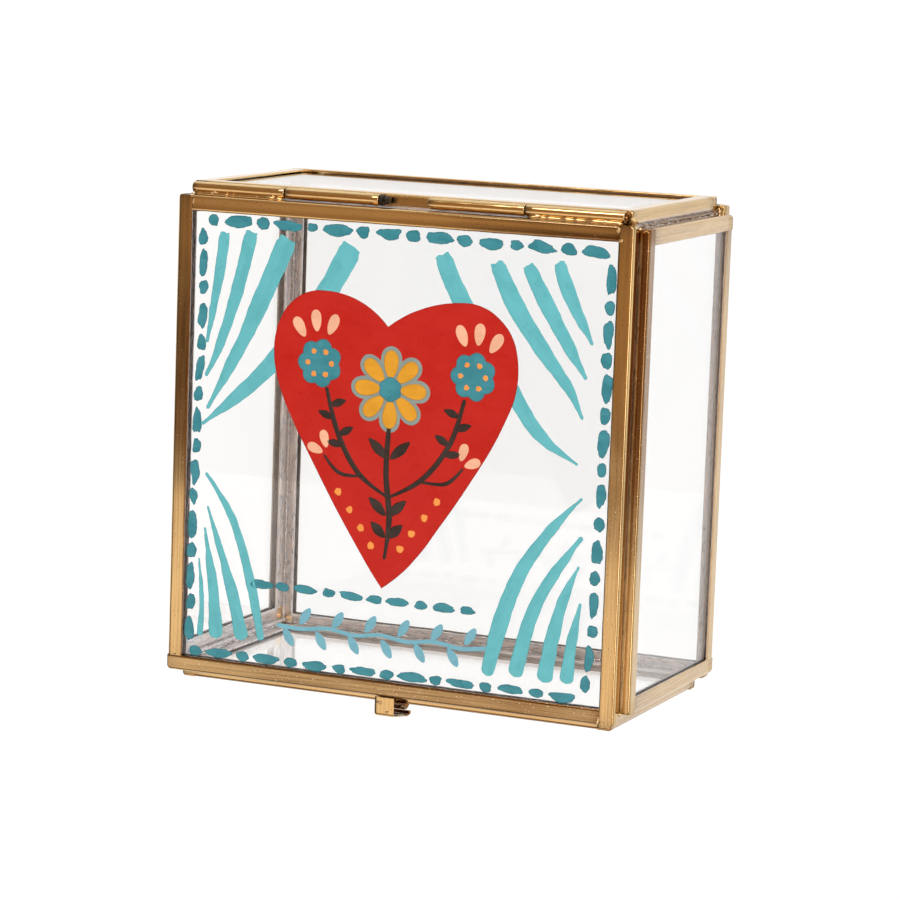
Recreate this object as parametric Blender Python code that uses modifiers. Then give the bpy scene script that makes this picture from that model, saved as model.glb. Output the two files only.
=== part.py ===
"""A hinged glass trinket box: six panes, each edged with four strips of folded brass channel.

The walls stand on the rim of the base and meet corner to corner. The lid lies on the walls,
turns on a two-piece tube hinge behind its rear edge and closes with a sprung clasp in front.
+X is right, +Y is the hinge side, +Z is up, and all sizes are in metres.
"""

import math

import bpy
import bmesh
from mathutils import Matrix, Vector

# Box sizes
OUTER_WIDTH = 0.1020  # X, over the outer faces of the side walls
OUTER_DEPTH = 0.1020  # Y, over the outer faces of the front and rear walls
WALL_HEIGHT = 0.0476
BASE_STEP = 0.0020  # the base's edge lies this far inside the walls' outer faces
LID_SIDE_STEP = 0.0020  # the same for the lid's left and right edges
LID_FRONT_STEP = 0.0018
LID_REAR_STEP = 0.0028  # leaves the ledge on which the hinge lies

# Brass channel round each pane
CHANNEL_THICKNESS = 0.0033  # across the glass
CHANNEL_FACE = 0.0033  # how much of the pane's edge it covers
CHANNEL_SHEET = 0.0004
CHANNEL_ROUND = 0.0008  # outer radius of the two folds
FOLD_STEPS = 4
TOUCH_GAP = 0.0003  # between pieces that are soldered or laid together

# Tube hinge
KNUCKLE_RADIUS = 0.00115
KNUCKLE_BORE = 0.00070
HINGE_INSET = 0.0026  # from the lid's side edge to the outer end of its knuckle
HINGE_MIDDLE = 0.0053  # from the box's middle to the inner end of each hinge
PIN_RADIUS = 0.00045
PIN_RECESS = 0.0005  # the pin ends this far inside the lid's knuckle
PIN_COLLAR = 0.0006  # length of the flattened collar that keeps the left pin in
PIN_STUB_RADIUS = 0.0008
PIN_STUB = 0.0012
TUBE_SIDES = 24
PIN_SIDES = 16

# Clasp
CLASP_WIDTH = 0.0043
CLASP_SHEET = 0.0005
CLASP_FLANGE = 0.0024  # height of the hook's leg on the lid's front edge
CLASP_REACH = 0.0033  # from the front wall's outer face to the hook's furthest point
CLASP_LEAN = 0.0012  # the hook's top stands this much further in than its foot
CLASP_DROP = 0.0088  # from the lid's face down to the hook's lip
CLASP_LIP = 0.0008  # how far the lip turns back in towards the wall
NOSE_REACH = 0.0019  # from the front wall's outer face to the catch's nose
NOSE_DROP = 0.0030  # from the wall's top down to the nose
CATCH_TOP = 0.0003  # from the wall's top down to the catch
CATCH_HEIGHT = 0.0050
CATCH_TAB = 0.0008  # flat ends of the catch, soldered to the wall
BEND_RADIUS = 0.0006
BEND_STEPS = 4

# Heights and places that follow from the sizes
GLASS_THICKNESS = CHANNEL_THICKNESS - 2 * (CHANNEL_SHEET + TOUCH_GAP)
GLASS_INSET = CHANNEL_SHEET + TOUCH_GAP
WALL_BOTTOM = CHANNEL_THICKNESS + TOUCH_GAP
WALL_TOP = WALL_BOTTOM + WALL_HEIGHT
LID_BOTTOM = WALL_TOP + TOUCH_GAP
LID_TOP = LID_BOTTOM + CHANNEL_THICKNESS
# The clasp reaches out in front, so the walls stand back to keep the origin under the middle of it all
BOX_CENTRE_Y = CLASP_REACH / 2
FRONT_FACE = BOX_CENTRE_Y - OUTER_DEPTH / 2
REAR_FACE = BOX_CENTRE_Y + OUTER_DEPTH / 2
LID_FRONT = FRONT_FACE + LID_FRONT_STEP
LID_REAR = REAR_FACE - LID_REAR_STEP
HINGE_Y = LID_REAR + TOUCH_GAP + KNUCKLE_RADIUS
HINGE_Z = WALL_TOP + TOUCH_GAP + KNUCKLE_RADIUS

X_AXIS = Vector((1, 0, 0))
Y_AXIS = Vector((0, 1, 0))
Z_AXIS = Vector((0, 0, 1))


def clear_scene():
    for item in list(bpy.data.objects):
        bpy.data.objects.remove(item)


def make_material(name, colour, roughness, metallic=0.0, see_through=0.0):
    material = bpy.data.materials.new(name)
    material.use_nodes = True
    shader = material.node_tree.nodes["Principled BSDF"]
    shader.inputs["Base Color"].default_value = (*colour, 1)
    shader.inputs["Roughness"].default_value = roughness
    shader.inputs["Metallic"].default_value = metallic
    shader.inputs["Transmission Weight"].default_value = see_through
    return material


def place(item, matrix, collection, pivot=None):
    """Puts an object where matrix says, in world space, under pivot if one is given."""
    collection.objects.link(item)
    if pivot is None:
        item.matrix_world = matrix
        return
    item.parent = pivot
    item.matrix_local = Matrix.Translation(-pivot.location) @ matrix


def frame_matrix(origin, x_axis, y_axis):
    """The matrix of a right-handed local frame at origin."""
    z_axis = x_axis.cross(y_axis)
    matrix = Matrix((x_axis, y_axis, z_axis)).transposed().to_4x4()
    matrix.translation = origin
    return matrix


def extruded(name, outlines, length, material):
    """A flat outline in local XY, with any holes, thickened along local Z by length."""
    curve = bpy.data.curves.new(name, "CURVE")
    curve.dimensions = "2D"
    curve.fill_mode = "BOTH"
    curve.extrude = length / 2
    for outline in outlines:
        spline = curve.splines.new("POLY")
        spline.points.add(len(outline) - 1)
        for point, (x, y) in zip(spline.points, outline):
            point.co = (x, y, 0, 1)
        spline.use_cyclic_u = True
    curve.materials.append(material)
    return bpy.data.objects.new(name, curve)


def arc(centre, radius, start, end, steps):
    """Points on a circle from start to end, in degrees."""
    angles = [math.radians(start + (end - start) * i / steps) for i in range(steps + 1)]
    return [(centre[0] + radius * math.cos(a), centre[1] + radius * math.sin(a)) for a in angles]


def circle(radius, sides):
    return arc((0, 0), radius, 0, 360 * (1 - 1 / sides), sides - 1)


def channel_outline():
    """The channel's section: the web lies along local X at y = 0 and the open side faces +Y."""
    half = CHANNEL_THICKNESS / 2
    fold = half - CHANNEL_ROUND
    inner = half - CHANNEL_SHEET
    outside = arc((-fold, CHANNEL_ROUND), CHANNEL_ROUND, 180, 270, FOLD_STEPS)
    outside += arc((fold, CHANNEL_ROUND), CHANNEL_ROUND, 270, 360, FOLD_STEPS)
    right_tip = [(half, CHANNEL_FACE), (inner, CHANNEL_FACE)]
    inside = [(inner, CHANNEL_SHEET), (-inner, CHANNEL_SHEET)]
    left_tip = [(-inner, CHANNEL_FACE), (-half, CHANNEL_FACE)]
    return outside + right_tip + inside + left_tip


def glass_pane(name, size, material):
    mesh = bpy.data.meshes.new(name)
    shape = bmesh.new()
    bmesh.ops.create_cube(shape, size=1)
    bmesh.ops.scale(shape, vec=(size[0], size[1], GLASS_THICKNESS), verts=shape.verts)
    shape.to_mesh(mesh)
    shape.free()
    mesh.materials.append(material)
    return bpy.data.objects.new(name, mesh)


def framed_pane(name, centre, across, up, size, strips, look, collection, pivot=None):
    """A pane with its four channel strips.

    across and up are the pane's own directions and size its outer measures along them. strips
    gives each strip's name, its side of the pane, and whether its low and high end run right to
    the pane's corner or stop at the strip that crosses there.
    """
    brass, glass = look
    normal = across.cross(up)
    clear = [measure - 2 * GLASS_INSET for measure in size]
    pane = glass_pane(f"{name}_glass", clear, glass)
    place(pane, frame_matrix(centre, across, up), collection, pivot)
    for strip_name, along, outward, low_full, high_full in strips:
        half_length = abs(along.dot(across)) * size[0] / 2 + abs(along.dot(up)) * size[1] / 2
        half_width = abs(outward.dot(across)) * size[0] / 2 + abs(outward.dot(up)) * size[1] / 2
        stop = CHANNEL_FACE + TOUCH_GAP
        low = -half_length + (0 if low_full else stop)
        high = half_length - (0 if high_full else stop)
        strip = extruded(f"{name}_channel_{strip_name}", [channel_outline()], high - low, brass)
        middle = centre + outward * half_width + along * (low + high) / 2
        place(strip, frame_matrix(middle, normal, -outward), collection, pivot)


def make_base(look, collection):
    size = (OUTER_WIDTH - 2 * BASE_STEP, OUTER_DEPTH - 2 * BASE_STEP)
    centre = Vector((0, BOX_CENTRE_Y, CHANNEL_THICKNESS / 2))
    strips = [
        ("right", Y_AXIS, X_AXIS, True, True),
        ("left", Y_AXIS, -X_AXIS, True, True),
        ("rear", X_AXIS, Y_AXIS, False, False),
        ("front", X_AXIS, -Y_AXIS, False, False),
    ]
    framed_pane("base", centre, X_AXIS, Y_AXIS, size, strips, look, collection)


def make_lid(look, collection, pivot):
    """The right strip runs the full depth, and the others butt against each other in turn."""
    size = (OUTER_WIDTH - 2 * LID_SIDE_STEP, LID_REAR - LID_FRONT)
    centre = Vector((0, (LID_FRONT + LID_REAR) / 2, (LID_BOTTOM + LID_TOP) / 2))
    strips = [
        ("right", Y_AXIS, X_AXIS, True, True),
        ("front", X_AXIS, -Y_AXIS, True, False),
        ("left", Y_AXIS, -X_AXIS, False, True),
        ("rear", X_AXIS, Y_AXIS, False, False),
    ]
    framed_pane("lid", centre, X_AXIS, Y_AXIS, size, strips, look, collection, pivot)


def make_walls(look, collection):
    """Four walls that meet corner to corner, so that each corner keeps an open notch outside.

    The side walls' top strips and the end walls' bottom strips run right through. The posts stop
    at those, and the walls' other strips lie between the posts.
    """
    middle_z = (WALL_BOTTOM + WALL_TOP) / 2
    corner = 2 * (CHANNEL_THICKNESS + TOUCH_GAP)
    side_size = (OUTER_DEPTH - corner, WALL_HEIGHT)
    end_size = (OUTER_WIDTH - corner, WALL_HEIGHT)
    side_x = OUTER_WIDTH / 2 - CHANNEL_THICKNESS / 2
    for name, sign in (("left", -1), ("right", 1)):
        strips = [
            ("top", Y_AXIS, Z_AXIS, True, True),
            ("front", Z_AXIS, -Y_AXIS, True, False),
            ("rear", Z_AXIS, Y_AXIS, True, False),
            ("bottom", Y_AXIS, -Z_AXIS, False, False),
        ]
        centre = Vector((sign * side_x, BOX_CENTRE_Y, middle_z))
        framed_pane(name, centre, Y_AXIS, Z_AXIS, side_size, strips, look, collection)
    end_y = OUTER_DEPTH / 2 - CHANNEL_THICKNESS / 2
    for name, sign in (("front", -1), ("rear", 1)):
        strips = [
            ("bottom", X_AXIS, -Z_AXIS, True, True),
            ("left", Z_AXIS, -X_AXIS, False, True),
            ("right", Z_AXIS, X_AXIS, False, True),
            ("top", X_AXIS, Z_AXIS, False, False),
        ]
        centre = Vector((0, BOX_CENTRE_Y + sign * end_y, middle_z))
        framed_pane(name, centre, X_AXIS, Z_AXIS, end_size, strips, look, collection)


def turned_pin(name, profile, material):
    """A pin turned round local Z from (radius, height) points that run down its outer side."""
    mesh = bpy.data.meshes.new(name)
    points = [(radius, 0, height) for radius, height in profile]
    edges = [(i, i + 1) for i in range(len(profile) - 1)]
    mesh.from_pydata(points, edges, [])
    mesh.materials.append(material)
    pin = bpy.data.objects.new(name, mesh)
    screw = pin.modifiers.new("turn", "SCREW")
    screw.steps = PIN_SIDES
    screw.render_steps = PIN_SIDES
    screw.use_merge_vertices = True
    screw.merge_threshold = 0.00001
    return pin


def make_hinge(look, collection, pivot):
    """Two tube hinges. In each the box's knuckle is the inner one and the lid's the outer one."""
    brass, steel = look
    far_end = OUTER_WIDTH / 2 - LID_SIDE_STEP - HINGE_INSET
    knuckle_length = (far_end - HINGE_MIDDLE - TOUCH_GAP) / 2
    lid_middle = far_end - knuckle_length / 2
    box_middle = HINGE_MIDDLE + knuckle_length / 2
    rings = [circle(KNUCKLE_RADIUS, TUBE_SIDES), circle(KNUCKLE_BORE, TUBE_SIDES)]
    for side, sign in (("left", -1), ("right", 1)):
        for carrier, middle, parent in (("box", box_middle, None), ("lid", lid_middle, pivot)):
            knuckle = extruded(f"hinge_knuckle_{carrier}_{side}", rings, knuckle_length, brass)
            origin = Vector((sign * middle, HINGE_Y, HINGE_Z))
            place(knuckle, frame_matrix(origin, Y_AXIS, Z_AXIS), collection, parent)
        pin_end = far_end - PIN_RECESS
        collar = HINGE_MIDDLE - TOUCH_GAP
        if side == "left":
            stub = collar - PIN_COLLAR - PIN_STUB
            profile = [
                (0, pin_end),
                (PIN_RADIUS, pin_end),
                (PIN_RADIUS, collar),
                (KNUCKLE_RADIUS, collar),
                (KNUCKLE_RADIUS, collar - PIN_COLLAR),
                (PIN_STUB_RADIUS, collar - PIN_COLLAR),
                (PIN_STUB_RADIUS, stub),
                (0, stub),
            ]
        else:
            pin_start = HINGE_MIDDLE + PIN_RECESS
            profile = [(0, pin_end), (PIN_RADIUS, pin_end), (PIN_RADIUS, pin_start), (0, pin_start)]
        pin = turned_pin(f"hinge_pin_{side}", profile, steel)
        outward = X_AXIS * sign
        place(pin, frame_matrix(Vector((0, HINGE_Y, HINGE_Z)), Y_AXIS, outward.cross(Y_AXIS)), collection)


def rounded(points, radius, steps):
    """The polyline with each inner corner replaced by an arc of about this radius."""
    smooth = [points[0]]
    for before, corner, after in zip(points, points[1:], points[2:]):
        corner_at = Vector(corner)
        back = (Vector(before) - corner_at).normalized()
        ahead = (Vector(after) - corner_at).normalized()
        half_angle = back.angle(ahead) / 2
        cut = min(
            radius / math.tan(half_angle),
            (Vector(before) - corner_at).length * 0.45,
            (Vector(after) - corner_at).length * 0.45,
        )
        start = corner_at + back * cut
        end = corner_at + ahead * cut
        for i in range(steps + 1):
            t = i / steps
            smooth.append(tuple(start * (1 - t) ** 2 + corner_at * 2 * t * (1 - t) + end * t**2))
    smooth.append(points[-1])
    return smooth


def strip_outline(middle_line, thickness):
    """The outline of a bent strip of this thickness, seen edge on."""
    line = [Vector(point) for point in middle_line]
    left = []
    right = []
    for i, point in enumerate(line):
        before = line[max(i - 1, 0)]
        after = line[min(i + 1, len(line) - 1)]
        first = (point - before).normalized() if i > 0 else (after - point).normalized()
        second = (after - point).normalized() if i < len(line) - 1 else first
        tangent = (first + second).normalized()
        side = Vector((-tangent.y, tangent.x)) * thickness / 2 / max(tangent.dot(first), 0.5)
        left.append(tuple(point + side))
        right.append(tuple(point - side))
    return left + right[::-1]


def bent_strip(name, points, material):
    """A clasp strip whose middle line is given as (y, z) points."""
    outline = strip_outline(rounded(points, BEND_RADIUS, BEND_STEPS), CLASP_SHEET)
    return extruded(name, [outline], CLASP_WIDTH, material)


def make_clasp(material, collection, pivot):
    """A hook on the lid's front edge that drops over a bent catch on the front wall."""
    half = CLASP_SHEET / 2
    leg_y = LID_FRONT - TOUCH_GAP - half
    flap_z = LID_TOP - half
    foot_y = FRONT_FACE - CLASP_REACH + half
    lip_z = LID_TOP - CLASP_DROP + half
    hook_points = [
        (leg_y, LID_TOP - CLASP_FLANGE),
        (leg_y, flap_z),
        (foot_y + CLASP_LEAN, flap_z),
        (foot_y, lip_z + 2 * BEND_RADIUS),
        (foot_y + half, lip_z),
        (foot_y + CLASP_LIP, lip_z),
    ]
    tab_y = FRONT_FACE - TOUCH_GAP - half
    catch_top = WALL_TOP - CATCH_TOP
    catch_foot = catch_top - CATCH_HEIGHT
    catch_points = [
        (tab_y, catch_top),
        (tab_y, catch_top - CATCH_TAB),
        (FRONT_FACE - NOSE_REACH + half, WALL_TOP - NOSE_DROP),
        (tab_y, catch_foot + CATCH_TAB),
        (tab_y, catch_foot),
    ]
    upright = frame_matrix(Vector((0, 0, 0)), Y_AXIS, Z_AXIS)
    place(bent_strip("clasp_hook", hook_points, material), upright, collection, pivot)
    place(bent_strip("clasp_catch", catch_points, material), upright, collection)


def make_box():
    clear_scene()
    collection = bpy.data.collections.new("glass_box")
    bpy.context.scene.collection.children.link(collection)
    brass = make_material("brass", (0.60, 0.42, 0.20), 0.32, metallic=1.0)
    glass = make_material("clear_glass", (0.95, 0.97, 0.97), 0.02, see_through=1.0)
    steel = make_material("dark_steel", (0.06, 0.055, 0.05), 0.5, metallic=1.0)
    pivot = bpy.data.objects.new("lid_pivot", None)
    pivot.location = (0, HINGE_Y, HINGE_Z)
    collection.objects.link(pivot)
    make_base((brass, glass), collection)
    make_walls((brass, glass), collection)
    make_lid((brass, glass), collection, pivot)
    make_hinge((brass, steel), collection, pivot)
    make_clasp(brass, collection, pivot)


make_box()
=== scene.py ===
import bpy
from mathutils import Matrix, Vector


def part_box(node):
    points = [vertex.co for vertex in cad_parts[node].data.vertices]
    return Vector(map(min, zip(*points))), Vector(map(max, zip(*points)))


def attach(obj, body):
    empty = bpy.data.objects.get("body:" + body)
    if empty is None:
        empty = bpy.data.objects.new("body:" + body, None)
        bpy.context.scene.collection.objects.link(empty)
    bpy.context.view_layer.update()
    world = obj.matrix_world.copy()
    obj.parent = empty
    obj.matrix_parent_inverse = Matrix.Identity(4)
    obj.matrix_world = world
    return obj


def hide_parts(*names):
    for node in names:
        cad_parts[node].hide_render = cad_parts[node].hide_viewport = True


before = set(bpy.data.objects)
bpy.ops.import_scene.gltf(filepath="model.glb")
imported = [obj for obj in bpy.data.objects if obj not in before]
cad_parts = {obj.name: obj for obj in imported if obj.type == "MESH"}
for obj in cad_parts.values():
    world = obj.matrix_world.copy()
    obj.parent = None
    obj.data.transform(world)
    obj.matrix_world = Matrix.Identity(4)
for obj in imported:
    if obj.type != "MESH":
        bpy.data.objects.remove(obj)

"""The looks of the glass trinket box: folded brass channel, solder, clear panes and the painted lid.

Lengths are in millimetres in the part's own frame, and MM turns them into Blender's metres.
"""

import math

import bpy
from mathutils import Matrix, Vector, noise

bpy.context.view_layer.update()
MM = 0.001

X_AXIS = Vector((1, 0, 0))
Y_AXIS = Vector((0, 1, 0))
Z_AXIS = Vector((0, 0, 1))

# Camera, worked out from the box's corners in the photograph
CAMERA_PLACE = (289.85, 108.56, 691.31)
CAMERA_TARGET = (0.34, -1.05, 27.0)
CAMERA_ROLL = 2.04  # degrees, from a camera whose right side is level along Y
CAMERA_LENS = 143.5
SENSOR_WIDTH = 36.0

# Folded channel round each pane
CHANNEL_HALF = 1.58  # half the thickness over its two faces
CHANNEL_DEPTH = 3.3
CHANNEL_SHEET = 0.36
FOLD_RADIUS = 0.78
FOLD_STEPS = 7
LIP_SHORT = 0.05  # the lip ends this far inside the solid's own edge
LIP_CURL = 0.12  # how far the lip's edge is pressed in towards the glass
CURL_FROM = 2.9  # depth at which the curl begins
RING_STEP = 1.3  # between the cross-sections of a strip
END_STEPS = (0.0, 0.05, 0.13, 0.26, 0.42, 0.62, 0.9)  # distances of the closer ones from an end
END_REACH = 0.52  # a strip that butts against another runs on this far, and closes the seam
END_ROUND = 0.55  # radius of the corner at a strip's free end
END_BEVEL = 0.12
PLUG_STEPS = (0.04, 0.08, 0.15, 0.26, 0.62)  # distances of the solder in a free end's mouth
PLUG_SHARES = (0.4, 0.75, 0.93, 1.0, 1.0)  # how much of the mouth it fills at each
PLUG_SCORCH = 0.9
SCORCH_REACH = 1.6  # how far from a soldered end the brass is darkened
LIP_SHADE = 1.7  # painted shade along the edges of the lid's lips, for the shadowed gap to the glass
FOLD_SHADE = 1.5  # and painted shade along the outer fold of the front wall
REAR_HIGHLIGHT = 1.5  # a painted highlight along a line on the lid's rear strip
HIGHLIGHT_DEPTH = 1.25  # of that line's middle
HIGHLIGHT_SPREAD = 0.55

# How brown a strip is from its low end to its high end: 1 is brown, 2 a deep red-brown, -1 polished. Besides
# tarnish these hold painted shade and painted reflection: stretches made darker or brighter where the metal
# mirrors dark or bright surroundings
TARNISH_AND_SHADE = {
    "lid_left": (0.0, 0.0, 0.0, 0.05, 0.3, 1.2, 1.6, 1.6, 1.4, 1.3, 0.8, 0.35, 0.4),
    "lid_right": (0.25, 0.25, 0.4, 0.75, 0.6, 0.15, 0.1, 0.4),
    "lid_rear": (-0.2, -0.2, -0.2, -0.2, 0.1, 1.0, 1.35, 1.5),
    "lid_front": (0.55, 0.9, 1.05, 1.1, 1.15, 1.2, 1.4, 0.9),
    "front_right": (0.5, 0.55, 0.8),
    "right_top": (0.4, 0.4, 0.55, 1.1, 1.6, 1.7, 1.7, 1.7, 1.6),
    "right_front": (0.5, 0.5, 0.7),
    "right_rear": (0.6, 0.5, 0.6),
    "right_bottom": (0.45, 0.45, 0.5, 0.6, 1.1),
    "rear_right": (0.5, 0.5, 0.5),
    "rear_top": (0.3, 0.2, 0.2, 0.3, 0.5),
    "rear_left": (0.2, 0.1, 0.3),
    "base_right": (0.4, 0.35, 0.5),
    "base_rear": (0.2, 0.2, 0.4),
}
PLAIN_TARNISH = (0.2, 0.1, 0.2)
# How much tin grey the faces that look right get, on these panes' strips: a painted pale sheen on the side
# that mirrors the bright floor
RIGHT_FACE_SHEEN = {"right": 0.14, "base": 0.22, "front": 0.14}

# Which way each pane's inside face looks, and which way each strip's web looks
INSIDE = {
    "base": Z_AXIS,
    "lid": -Z_AXIS,
    "left": X_AXIS,
    "right": -X_AXIS,
    "front": Y_AXIS,
    "rear": -Y_AXIS,
}
SIDES = {
    "right": X_AXIS,
    "left": -X_AXIS,
    "rear": Y_AXIS,
    "front": -Y_AXIS,
    "top": Z_AXIS,
    "bottom": -Z_AXIS,
}
FLAT_STRIPS = ("right", "left", "rear", "front")
SIDE_STRIPS = ("top", "bottom", "front", "rear")
END_STRIPS = ("top", "bottom", "left", "right")
STRIPS = {
    "base": FLAT_STRIPS,
    "lid": FLAT_STRIPS,
    "left": SIDE_STRIPS,
    "right": SIDE_STRIPS,
    "front": END_STRIPS,
    "rear": END_STRIPS,
}

# Hinge and clasp
TUBE_BORE = 0.70
TUBE_SIDES = 56
TUBE_STEPS = 15
SEAM_ANGLE = math.radians(-75)  # where the rolled sheet's edges meet, seen along X from Y
CLASP_HALF_SHEET = 0.25
CLASP_DENT = 0.08
HOOK_LEG = 2.4  # down the lid's front edge
HOOK_LEAN = 1.2
HOOK_LIP = 0.8
HOOK_BEND = 1.2
CATCH_TAB = 0.8
CATCH_NOSE = 2.7  # from the catch's top down to its nose

# Solder
BEAD_SIDES = 12
LUMP_SIDES = 14
LUMP_ROWS = 8

# Paint on the lid's glass: each layer's height above the glass and its thickness
PAINT_GAP = 0.01
GROUND = (0, 0.07)  # the border, the strokes and the garland's leaves
VINE = (0, 0.063)
HEART = (0.09, 0.07)
MOTIF = (0.17, 0.05)
BLOOM_EDGE = (0.17, 0.04)
DETAIL = (0.225, 0.045)
BLOOM_EYE = (0.275, 0.045)
PAINT_CREASE = 60  # degrees
RIM_INSETS = (0.0, 0.05, 0.13, 0.26)
RIM_HEIGHTS = (0.15, 0.75, 1.0, 0.93)
# share of the rim colour, which is painted shade, at each inset
RIM_TONES = (1.0, 1.0, 0.7, 0.0)
BRUSH_ACROSS = (1.0, 0.93, 0.82, 0.6, 0.3, 0.0, -0.3, -0.6, -0.82, -0.93, -1.0)
BRUSH_HEIGHTS = (0.15, 0.75, 1.0, 0.95, 0.9, 0.9, 0.9, 0.95, 1.0, 0.75, 0.15)
BLUNT_START = 0.84  # share of its breadth that a blunt stroke starts with
DAB_POWER = 2.2  # how square a dab's ends are: under 2 is pointed
DAB_POWER_SPREAD = 1.6
DAB_SIDES = 36
PETAL_SIDES = 28
LOBE_SIDES = 10

# Each paint's colour, the colour of its rim, where a darker rim colour is painted shade along the paint's
# edge, and how uneven it is
PAINTS = {
    "teal": ((0.030, 0.250, 0.330), (0.022, 0.165, 0.220), 0.14),
    "turquoise": ((0.112, 0.500, 0.595), (0.070, 0.370, 0.450), 0.07),
    "red": ((0.495, 0.006, 0.001), (0.330, 0.005, 0.001), 0.04),
    "mustard": ((0.700, 0.345, 0.018), (0.520, 0.240, 0.015), 0.08),
    "slate": ((0.240, 0.330, 0.330), (0.240, 0.330, 0.330), 0.08),
    "peach": ((0.840, 0.480, 0.330), (0.840, 0.480, 0.330), 0.10),
    "orange": ((0.850, 0.330, 0.070), (0.850, 0.330, 0.070), 0.10),
    "ink": ((0.020, 0.011, 0.009), (0.020, 0.011, 0.009), 0.15),
    "sky": ((0.160, 0.450, 0.600), (0.160, 0.450, 0.600), 0.06),
}


def box_mm(node):
    """Lowest and highest corner of a CAD node, in millimetres."""
    low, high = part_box(node)
    return low / MM, high / MM


def smooth_step(value):
    value = min(max(value, 0.0), 1.0)
    return value * value * (3 - 2 * value)


def wander(position, seed, scale=1.0):
    """A smooth value between about -1 and 1 that changes with position, the same on each run."""
    return noise.noise(Vector((position * scale, seed * 7.31, seed * 3.17)))


def running(*values):
    """A function of a share from 0 to 1 that runs smoothly through the given values."""
    def value(share):
        place = min(max(share, 0.0), 1.0) * (len(values) - 1)
        low = min(int(place), len(values) - 2)
        return values[low] + (values[low + 1] - values[low]) * smooth_step(place - low)
    return value


def bell(distance, spread):
    return math.exp(-((distance / spread) ** 2))


def turns(count):
    """Angles in equal steps once round."""
    return [2 * math.pi * i / count for i in range(count)]


def letter_sum(name, limit):
    """A seed below limit for a piece's name."""
    return sum(ord(letter) for letter in name) % limit


def add_object(name, data):
    """A new object with this mesh, light or camera, in the scene."""
    item = bpy.data.objects.new(name, data)
    bpy.context.scene.collection.objects.link(item)
    return item


class Draft:
    """Points and faces of a mesh in the making, with the values that its material reads.

    grain holds each point's place along and across its strip in millimetres, and a seed. tone is a share
    between 0 and 1, such as how much of the tinned inside, of the painted pale sheen on faces that look
    right or of a paint's rim with its painted shade it is, and the darkness value is how dark the brass or
    solder is there: scorch, flux and tarnish, together with painted shade and painted highlights.
    """

    def __init__(self):
        self.points = []
        self.faces = []
        self.grain = []
        self.tone = []
        self.scorch_and_shade = []

    def ring(self, points, grain, tone, scorch_and_shade=0.0):
        first = len(self.points)
        self.points += [Vector(point) for point in points]
        self.grain += grain
        self.tone += tone
        self.scorch_and_shade += scorch_and_shade if isinstance(scorch_and_shade, list) else [scorch_and_shade] * len(points)
        return list(range(first, len(self.points)))

    def bridge(self, first, second):
        """Faces between two rings with as many points each."""
        count = len(first)
        for i in range(count):
            j = (i + 1) % count
            self.faces.append((first[i], first[j], second[j], second[i]))

    def loft(self, rings):
        """Faces along a row of rings that turn anticlockwise about the way they follow, and its two ends."""
        for before, after in zip(rings, rings[1:]):
            self.bridge(before, after)
        self.faces.append(tuple(reversed(rings[0])))
        self.faces.append(tuple(rings[-1]))

    def flat_loft(self, rings):
        """As loft, for rings whose second half lies under their first half, so that an end may be frayed."""
        for before, after in zip(rings, rings[1:]):
            self.bridge(before, after)
        last = len(rings[0]) - 1
        for i in range(last // 2):
            corners = (i, i + 1, last - i - 1, last - i)
            self.faces.append(tuple(rings[0][k] for k in reversed(corners)))
            self.faces.append(tuple(rings[-1][k] for k in corners))

    def fan(self, ring, centre, grain, tone):
        middle = self.ring([centre], [grain], [tone])[0]
        for i, start in enumerate(ring):
            self.faces.append((start, ring[(i + 1) % len(ring)], middle))

    def piece(self, name, material, body, replaced=(), crease=40):
        mesh = bpy.data.meshes.new(name)
        mesh.from_pydata([point * MM for point in self.points], [], self.faces)
        grain = mesh.attributes.new("grain", "FLOAT_VECTOR", "POINT")
        grain.data.foreach_set("vector", [value for triple in self.grain for value in triple])
        for attribute, values in (("tone", self.tone), ("scorch_and_shade", self.scorch_and_shade)):
            mesh.attributes.new(attribute, "FLOAT", "POINT").data.foreach_set("value", values)
        mesh.materials.append(material)
        mesh.shade_smooth()
        mesh.set_sharp_from_angle(angle=math.radians(crease))
        item = add_object(name, mesh)
        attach(item, body)
        if replaced:
            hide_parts(*replaced)
        return item


# Materials


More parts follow.
